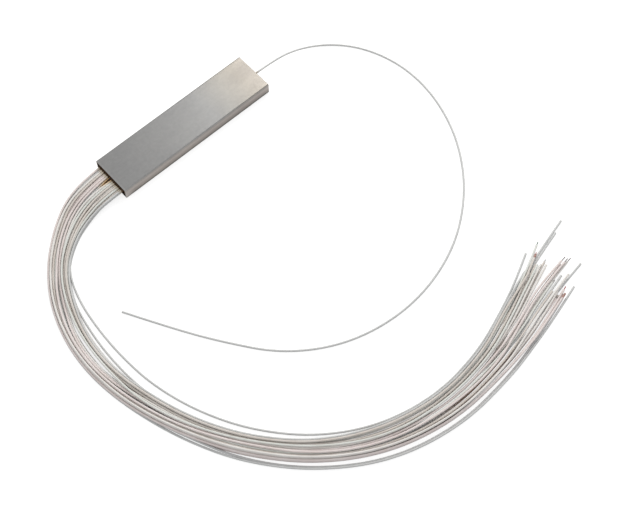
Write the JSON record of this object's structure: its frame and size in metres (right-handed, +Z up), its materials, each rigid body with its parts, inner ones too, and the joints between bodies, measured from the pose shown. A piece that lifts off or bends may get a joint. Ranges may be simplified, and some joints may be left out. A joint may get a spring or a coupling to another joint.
{
  "type": "plc fibre splitter",
  "caption": "Flat steel-tube planar fibre splitter with one white loose-tube lead out of one end and a curved bundle of them out of the other, fanned and bare-ended.",
  "frame": {"origin": "middle of the housing's flat underside, on the surface that the splitter and its leads lie on", "axes": "+X along the housing towards the input lead's end, +Y across its width, +Z up through its thickness"},
  "size_m": [0.1943, 0.1857, 0.006],
  "materials": {
    "stainless": "satin",
    "inner_steel": "satin",
    "foam": "matte",
    "silicone": "satin",
    "chip": "gloss",
    "glass": "polished",
    "fibre": "satin",
    "ribbon": "satin",
    "epoxy": "gloss",
    "lead": "satin"
  },
  "bodies": {
    "root": {"housing_tube": "stainless", "module_tube": "inner_steel", "module_pad": "foam", "chip_bed": "silicone", "output_plug": "silicone", "input_plug": "silicone", "splitter_chip": "chip", "chip_cover_output": "glass", "chip_cover_input": "glass", "output_fibre_block": "glass", "output_block_lid": "glass", "input_fibre_block": "glass", "input_block_lid": "glass", "input_fibre": "fibre", "fibre_ribbon_1": "ribbon", "fibre_ribbon_2": "ribbon", "fibre_ribbon_3": "ribbon", "fibre_ribbon_4": "ribbon", "output_potting": "epoxy", "input_potting": "epoxy", "input_lead": "lead", "output_lead_01": "lead", "output_lead_02": "lead", "output_lead_03": "lead", "output_lead_04": "lead", "output_lead_05": "lead", "output_lead_06": "lead", "output_lead_07": "lead", "output_lead_08": "lead", "output_lead_09": "lead", "output_lead_10": "lead", "output_lead_11": "lead", "output_lead_12": "lead", "output_lead_13": "lead", "output_lead_14": "lead", "output_lead_15": "lead", "output_lead_16": "lead", "output_lead_17": "lead", "output_lead_18": "lead", "output_lead_19": "lead", "output_lead_20": "lead", "output_lead_21": "lead", "output_lead_22": "lead", "output_lead_23": "lead", "output_lead_24": "lead", "output_lead_25": "lead", "output_lead_26": "lead", "output_lead_27": "lead", "output_lead_28": "lead", "output_lead_29": "lead", "output_lead_30": "lead", "output_lead_31": "lead", "output_lead_32": "lead"}
  },
  "joints": []
}
